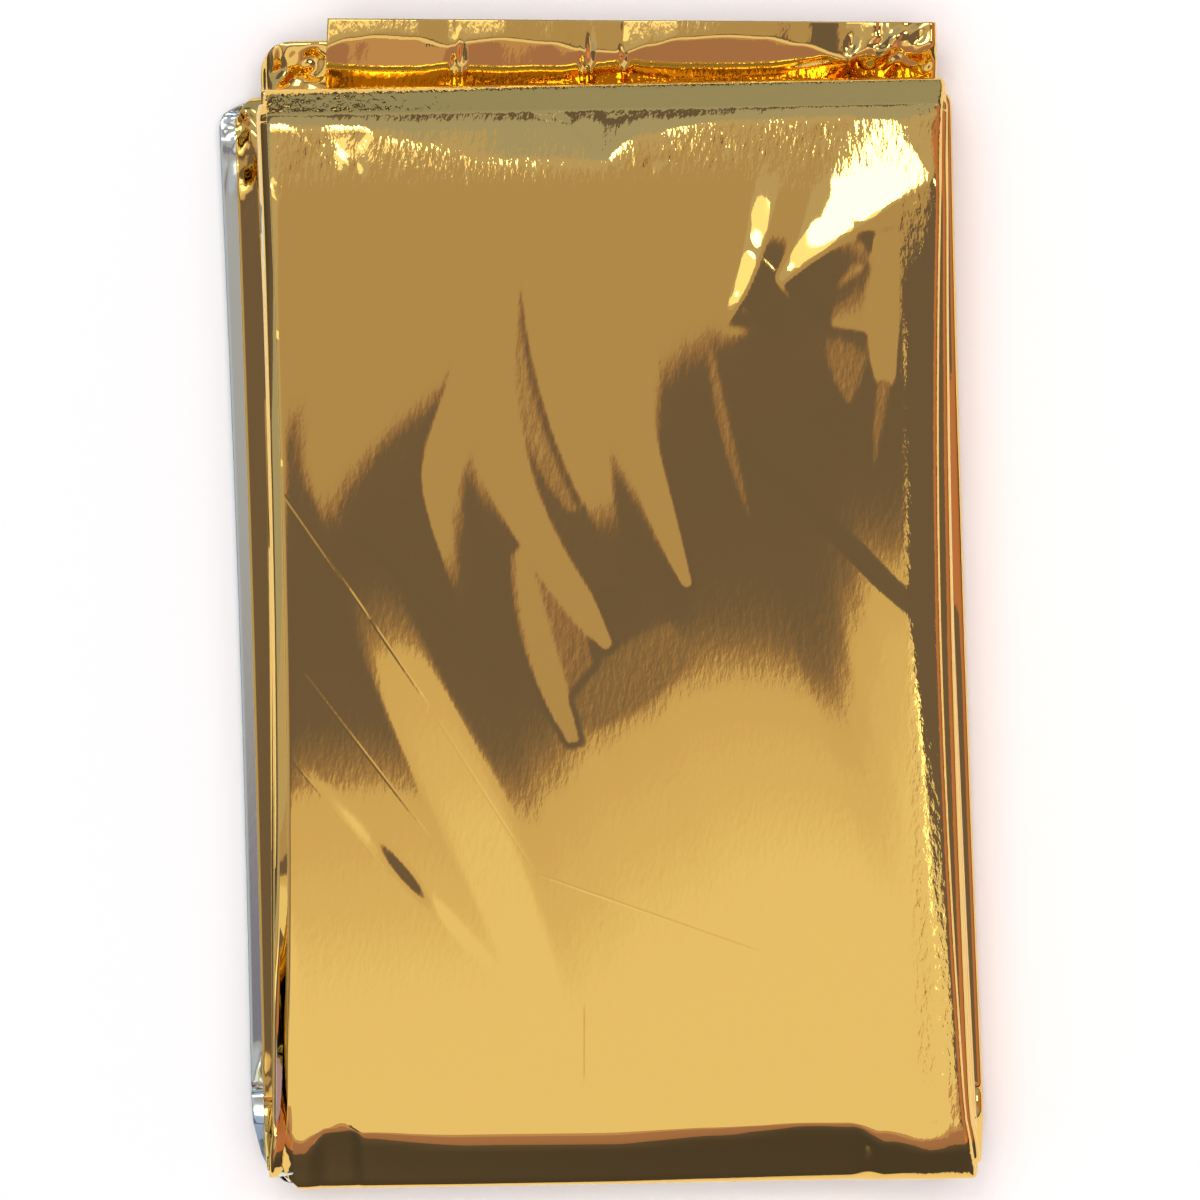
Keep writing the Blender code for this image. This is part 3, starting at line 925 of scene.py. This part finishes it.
def metallised_film(name, base, roughness, creased=False):
    """Polyester film, vapour-coated with aluminium and tinted on its gold side: to the eye a mirror of
    metal, broken by fine crinkles near the top and the right, and by pressed lines where it is creased."""
    material = bpy.data.materials.new(name)
    material.use_nodes = True
    tree = material.node_tree
    surface = tree.nodes["Principled BSDF"]
    surface.inputs["Base Color"].default_value = colour(base)
    surface.inputs["Metallic"].default_value = 1.0
    surface.inputs["Roughness"].default_value = roughness
    place = add_node(tree, "TexCoord").outputs["Object"]
    where = add_node(tree, "SeparateXYZ", links={"Vector": place})

    def band(axis, reach):
        """0 before the reach along one axis, 1 beyond it, and a smooth step between."""
        ends = {"From Min": reach[0] * MM, "From Max": reach[1] * MM}
        settings, links = {"interpolation_type": "SMOOTHSTEP"}, {"Value": where.outputs[axis]}
        return add_node(tree, "MapRange", settings, ends, links).outputs["Result"]

    side = add_node(tree, "Math", {"operation": "MULTIPLY"}, {1: SIDE_SHARE}, {0: band("X", ROUGH_SIDE)})
    both = {0: band("Y", ROUGH_END), 1: side.outputs["Value"]}
    rough = add_node(tree, "Math", {"operation": "MAXIMUM"}, links=both)
    strengths = {"To Min": SMOOTH_STRENGTH, "To Max": CREASED_STRENGTH if creased else ROUGH_STRENGTH}
    strength = add_node(tree, "MapRange", inputs=strengths, links={"Value": rough.outputs["Value"]})
    links = {}
    for turn, to_mm in CRINKLES:
        settings = {"Rotation": (0, 0, math.radians(turn)), "Scale": [value / MM for value in to_mm]}
        turned = add_node(tree, "Mapping", None, settings, {"Vector": place})
        crinkle = add_node(tree, "TexNoise", inputs={"Scale": 1.0, "Detail": 2.0},
                           links={"Vector": turned.outputs["Vector"]})
        links |= {"Height": crinkle.outputs["Fac"], "Strength": strength.outputs["Result"]}
        bump = add_node(tree, "Bump", inputs={"Distance": CRINKLE_DEPTH * MM}, links=links)
        links = {"Normal": bump.outputs["Normal"]}
    if creased:
        height = pressed_line(tree, place, LINES[0])
        for row in LINES[1:]:
            both = {0: height, 1: pressed_line(tree, place, row)}
            height = add_node(tree, "Math", {"operation": "ADD"}, links=both).outputs["Value"]
        links |= {"Height": height}
        bump = add_node(tree, "Bump", inputs={"Distance": LINE_DEPTH * MM}, links=links)
        links = {"Normal": bump.outputs["Normal"]}
    tree.links.new(links["Normal"], surface.inputs["Normal"])
    return material


# ---- the blanket

FREE_END_ROOT = 58.0  # place on Y from which on the two free ends are finely stepped
# Columns across the layers behind the front, for the outermost film and for the inner ones; in the two
# lowest layers, which show at the left, those of the left part and of the rest
COLUMNS = {1: ((15, 9), (13, 8)), 2: ((16, 10), (9, 8))}
OTHER_COLUMNS = (14, 10)
# Those of the front film, of the free ends' seen films, of the films under both, and of an outermost film's
# other half, and how many points of that the front's has
FRONT_COLUMNS, FREE_END_COLUMNS, UNDER_COLUMNS, BACK_COLUMNS, BACK_KEPT = 220, 260, 18, 14, 11
# Steps along the strip in millimetres: the front film; the films under it, in the middle and near the ends;
# the free ends' outer and inner films; the other layers, in the middle, near the ends, and there in the two
# lowest
FRONT_STEP, UNDER_STEPS, FREE_END_STEPS, OTHER_STEPS = 0.36, (1.2, 0.5), (0.2, 0.5), (1.2, 0.4, 0.25)
# and round the turns: at the bottom and at the top of the front film and of the films under it, and elsewhere
FRONT_TURNS, UNDER_TURNS, TURN_STEPS = (44, 30), (30, 22), 22


def front_way(by_layer, steps, bottom_steps, top_steps):
    """From the fold at the bottom over the front layer and round the fold at the top."""
    front, behind, back = by_layer[LAYERS], by_layer[5], by_layer[1]
    ends = turn_start(back, front, True), turn_start(front, behind, False)
    way = joined(turn_way(back, front, True, bottom_steps), panel_way(front, *ends, *steps))
    return joined(way, turn_way(front, behind, False, top_steps))


def free_ends(by_layer):
    """The films of the free ends. The lower one lies with the other half of its outermost film upwards."""
    films = []
    lower, upper = by_layer[3], by_layer[4]
    lower_films = back_section(FREE_END_COLUMNS), outer_section(30, 6)
    upper_films = outer_section(FREE_END_COLUMNS, 8), back_section(BACK_COLUMNS)
    for panel, ends, (seen, unseen) in (
        (lower, (lower.top.place, FREE_END_ROOT), lower_films),
        (upper, (FREE_END_ROOT, upper.top.place), upper_films),
    ):
        fine, coarse = (panel_way(panel, *ends, step, step) for step in FREE_END_STEPS)
        films.append(film_points(fine, seen))
        for across in (inner_section(UNDER_COLUMNS), unseen):
            films.append(film_points(coarse, across, under=True))
    return films


def blanket(front_gold, gold, silver):
    """The front film, finely stepped, the films under it, the free ends, and three lots of other layers."""
    by_layer = {panel.layer: panel for panel in PANELS}
    front_steps = FRONT_STEP, FRONT_STEP
    outer = film_points(front_way(by_layer, front_steps, *FRONT_TURNS), outer_section(FRONT_COLUMNS, 12))
    under_way = front_way(by_layer, UNDER_STEPS, *UNDER_TURNS)
    under_front = inner_section(UNDER_COLUMNS), back_section(BACK_COLUMNS)[:, :BACK_KEPT]
    lots = {
        "films_under_front": [film_points(under_way, across, under=True) for across in under_front],
        "free_end_films": free_ends(by_layer), "upper_films": [], "middle_films": [], "lower_films": [],
    }
    for index, (panel, following) in enumerate(zip(PANELS, PANELS[1:] + (None,))):
        at_bottom = index % 2 == 0
        y_from = FREE_END_ROOT if index == 0 else turn_start(PANELS[index - 1], panel, not at_bottom)
        y_to = FREE_END_ROOT if following is None else turn_start(panel, following, at_bottom)
        if panel.layer == LAYERS:
            continue
        way = panel_way(panel, y_from, y_to, OTHER_STEPS[0], OTHER_STEPS[2 if panel.layer < 3 else 1])
        if following is not None and following.layer != LAYERS:
            way = joined(way, turn_way(panel, following, at_bottom, TURN_STEPS))
        lot = "upper_films" if panel.layer > 5 else "middle_films" if panel.layer > 2 else "lower_films"
        lots[lot].append(film_points(way, whole_section(*COLUMNS.get(panel.layer, OTHER_COLUMNS))))
    pieces = [film_object("front_film", [outer], [front_gold])]
    for name, grids in lots.items():
        films = film_object(name, grids, [gold, silver])
        wall = films.modifiers.new("Film", "SOLIDIFY")
        wall.thickness = FILM_THICKNESS * MM
        wall.offset = -1.0
        wall.material_offset = 1
        pieces.append(films)
    return pieces


# ---- stage, light and camera

CAMERA_DISTANCE = 0.8
FRAME_PIXELS, FRONT_SCALE = 1200, 8.6  # the frame, and pixels in it for a millimetre of the front face
PACKET_ROLL = math.radians(1.1)
# Linear colours of the surroundings at eye level and overhead, and where on the way up they are reached
SIDE_GLOW, TOP_GLOW, GLOW_TOP = (0.075, 0.070, 0.11, 1), (0.175, 0.155, 0.24, 1), 0.75
FILL_SIZE, FILL_HEIGHT, FILL_BRIGHTNESS = 2.0, 1.6, 1.95
FLOOR_SIZE, FLOOR_DROP = 6.0, 0.0002


def studio():
    """Pale floor, the glow of the surroundings, and a wide light for the floor."""
    world = bpy.data.worlds.new("studio")
    bpy.context.scene.world = world
    world.use_nodes = True
    tree = world.node_tree
    direction = add_node(tree, "TexCoord")
    parts = add_node(tree, "SeparateXYZ", links={"Vector": direction.outputs["Generated"]})
    height = add_node(tree, "MapRange", {"interpolation_type": "SMOOTHSTEP"},
                      {"From Min": 0.0, "From Max": GLOW_TOP}, {"Value": parts.outputs["Z"]})
    tint = add_node(tree, "Mix", {"data_type": "RGBA"}, links={"Factor": height.outputs["Result"]})
    tint.inputs["A"].default_value = SIDE_GLOW
    tint.inputs["B"].default_value = TOP_GLOW
    tree.links.new(tint.outputs["Result"], tree.nodes["Background"].inputs["Color"])
    fill = bpy.data.lights.new("floor_fill", "AREA")
    fill.size = FILL_SIZE
    fill.color = (1.0, 0.99, 0.915)
    fill.energy = FILL_BRIGHTNESS * math.pi * FILL_SIZE**2
    placed("floor_fill", fill, (0, 0, FILL_HEIGHT)).visible_glossy = False
    bpy.ops.mesh.primitive_plane_add(size=FLOOR_SIZE, location=(0, 0, -FLOOR_DROP))
    floor = bpy.context.object
    floor.name = "floor"
    paint = bpy.data.materials.new("matt_white_paint")
    paint.use_nodes = True
    inputs = paint.node_tree.nodes["Principled BSDF"].inputs
    inputs["Base Color"].default_value = colour("#F4F4F2")
    inputs["Roughness"].default_value = 0.9
    floor.data.materials.append(paint)


BOX_HEIGHT, BOX_SPACING = 6.0, 0.01
# A row for each soft box overhead: its reach to both sides and along as seen from the packet, in degrees
# from straight up, how far it is turned, and its brightness
SoftBox = namedtuple("SoftBox", "name left right near far turn brightness")
SOFT_BOXES = table(SoftBox,
    ("front_box", -34, 8, -20, FRONT_EDGE, BOX_TURN, (0.57, 0.49, 0.36)),
    ("front_second_box", -34, 8, -20, -4, BOX_TURN, (0.06, 0.07, 0.08)),
    ("front_third_box", -34, 8, -20, -4.7, BOX_TURN, (0.07, 0.09, 0.11)),
    ("front_fourth_box", -34, 8, -20, -5.1, BOX_TURN, (0.07, 0.09, 0.12)),
    ("front_edge_box", -34, 8, FRONT_EDGE, FRONT_EDGE + 0.35, BOX_TURN, (0.16, 0.09, 0.03)),
    ("front_outer_edge_box", -34, 8, FRONT_EDGE, FRONT_EDGE + 0.8, BOX_TURN, (0.075, 0.045, 0.02)),
    ("right_near_box", 9, 12, -7, -1, 0, (1.6, 1.5, 1.3)),
    ("front_low_box", -60, 8, -62, -20, BOX_TURN, (0.27, 0.115, 0.1)),
    ("front_low_near_box", -60, 8, -27, -20, BOX_TURN, (0.16, 0.15, 0.1)),
    ("rear_edge_box", -40, 45, REAR_EDGE - 0.4, REAR_EDGE, BOX_TURN, (0.17, 0.08, 0.025)),
    ("rear_box", -40, 45, REAR_EDGE, 20, BOX_TURN, (0.34, 0.28, 0.2)),
    ("rear_far_box", -60, 60, 20, 42, BOX_TURN, (0.27, 0.34, 0.5)),
    ("rear_high_box", -40, 45, 6.5, 20, BOX_TURN, (0.06, 0.1, 0.18)),
    ("rear_low_box", -75, 75, 59, 87, 0, (0.28, 0.34, 0.5)),
    ("right_low_box", 32, 80, -60, 60, 0, (0.4, 0.12, 0.03)),
    ("rear_left_box", -20, -0.5, 9.5, 26, 0, (0.9, 0.8, 0.7)),
    ("rear_left_high_box", -20, -0.5, 15, 26, 0, (4.5, 4.5, 4.5)),
    ("right_bright_box", 17, 26, 10.5, 18, 0, (6, 6, 6)),
)


def soft_boxes():
    """A rectangle of light for each row, a little higher than the one before."""
    for number, row in enumerate(SOFT_BOXES):
        height = BOX_HEIGHT + BOX_SPACING * number
        left, right, near, far = (height * math.tan(math.radians(a)) for a in row[1:5])
        light = bpy.data.lights.new(row.name, "AREA")
        light.shape = "RECTANGLE"
        light.size, light.size_y = right - left, far - near
        light.color = [value / max(row.brightness) for value in row.brightness]
        light.energy = max(row.brightness) * math.pi * light.size * light.size_y
        middle, across = (left + right) / 2, (near + far) / 2
        x = middle * math.cos(row.turn) - across * math.sin(row.turn)
        y = middle * math.sin(row.turn) + across * math.cos(row.turn)
        placed(row.name, light, (x, y, height), row.turn)


def camera():
    """Straight above; its angle fits the frame to the front face."""
    lens = bpy.data.cameras.new("camera")
    view = FRAME_PIXELS / FRONT_SCALE * MM
    lens.sensor_fit = "HORIZONTAL"
    lens.angle = 2 * math.atan(view / 2 / (CAMERA_DISTANCE - HIGHEST_MIDDLE * MM))
    bpy.context.scene.camera = placed("camera", lens, (0, 0, CAMERA_DISTANCE), -PACKET_ROLL)


def main():
    bpy.context.scene.view_settings.view_transform = "Standard"
    gold = metallised_film("gold_side_of_film", "#EDC86C", 0.04)
    creased_gold = metallised_film("gold_side_of_creased_film", "#EDC86C", 0.04, creased=True)
    silver = metallised_film("silver_side_of_film", "#DDE9DB", 0.10)
    for piece in blanket(creased_gold, gold, silver):
        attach(piece, BODY)
        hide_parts(NODE)
    studio()
    soft_boxes()
    camera()


main()
